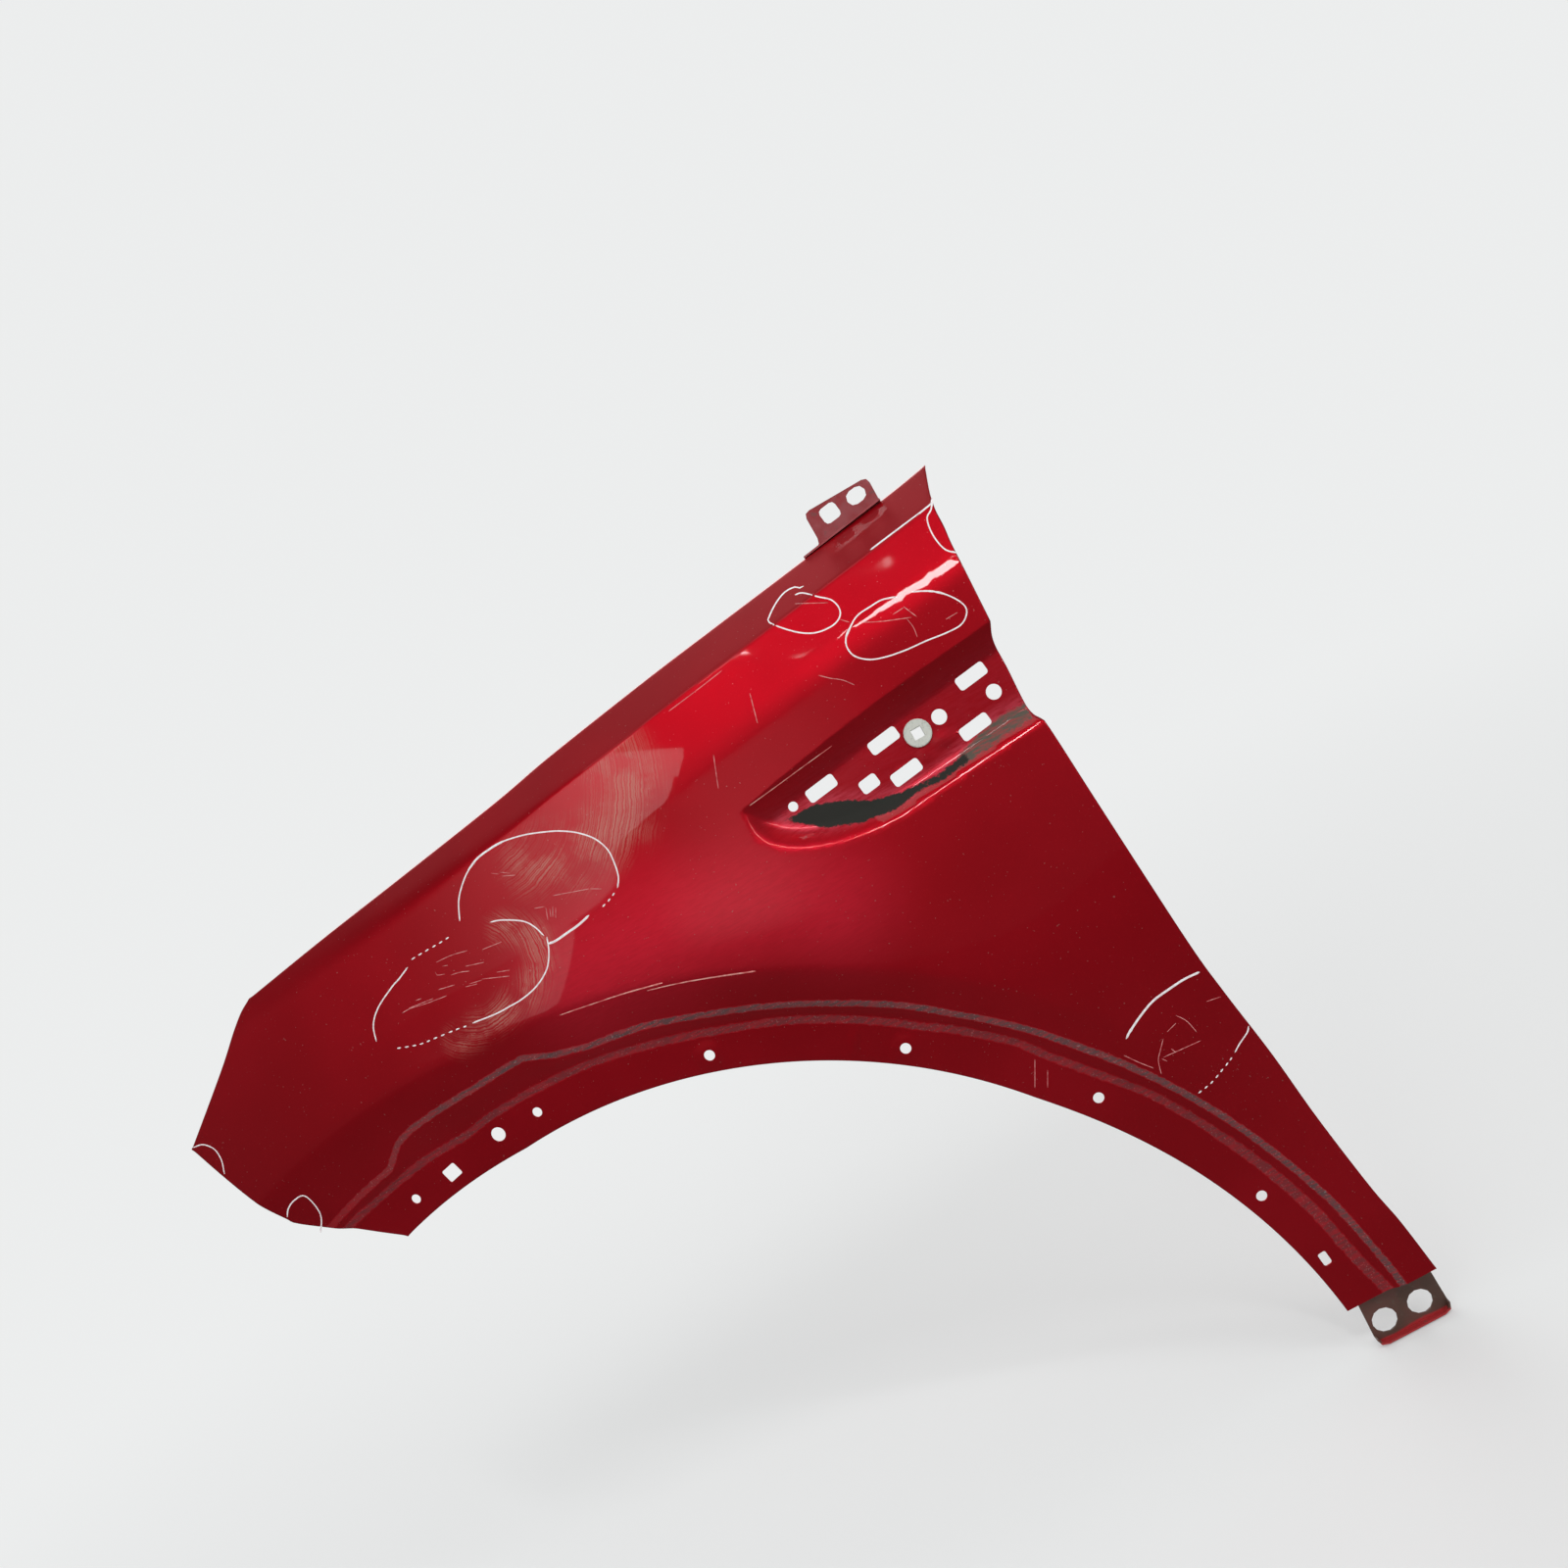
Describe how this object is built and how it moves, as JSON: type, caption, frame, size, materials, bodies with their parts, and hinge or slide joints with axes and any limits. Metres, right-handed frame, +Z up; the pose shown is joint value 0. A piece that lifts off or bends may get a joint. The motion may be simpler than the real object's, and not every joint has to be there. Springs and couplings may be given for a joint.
{
  "type": "car fender",
  "caption": "Pressed steel front fender panel for a passenger car, with a wheel arch, a garnish recess pierced for clips, turned edges and two bolt brackets.",
  "frame": {"origin": "inboard bolt face of the rear upper bracket, in the middle of the web between its two holes", "axes": "the fender keeps its place on the car: +X to the rear, +Y inboard and +Z up, so the painted outside faces -Y"},
  "size_m": [0.819, 0.1478, 0.7736],
  "materials": {
    "red_paint": "glossy metallic red body paint with scuffs, marker lines and dull abrasion bands along the arch",
    "thin_red_paint": "thin pinkish red overspray on a welded bracket",
    "dull_red_paint": "dull maroon paint on a welded bracket",
    "white_nylon": "off-white moulded nylon"
  },
  "bodies": {
    "root": {"fender_panel": "red_paint", "rear_upper_bracket": "thin_red_paint", "rear_lower_bracket": "dull_red_paint", "vent_nut": "white_nylon"}
  },
  "joints": []
}
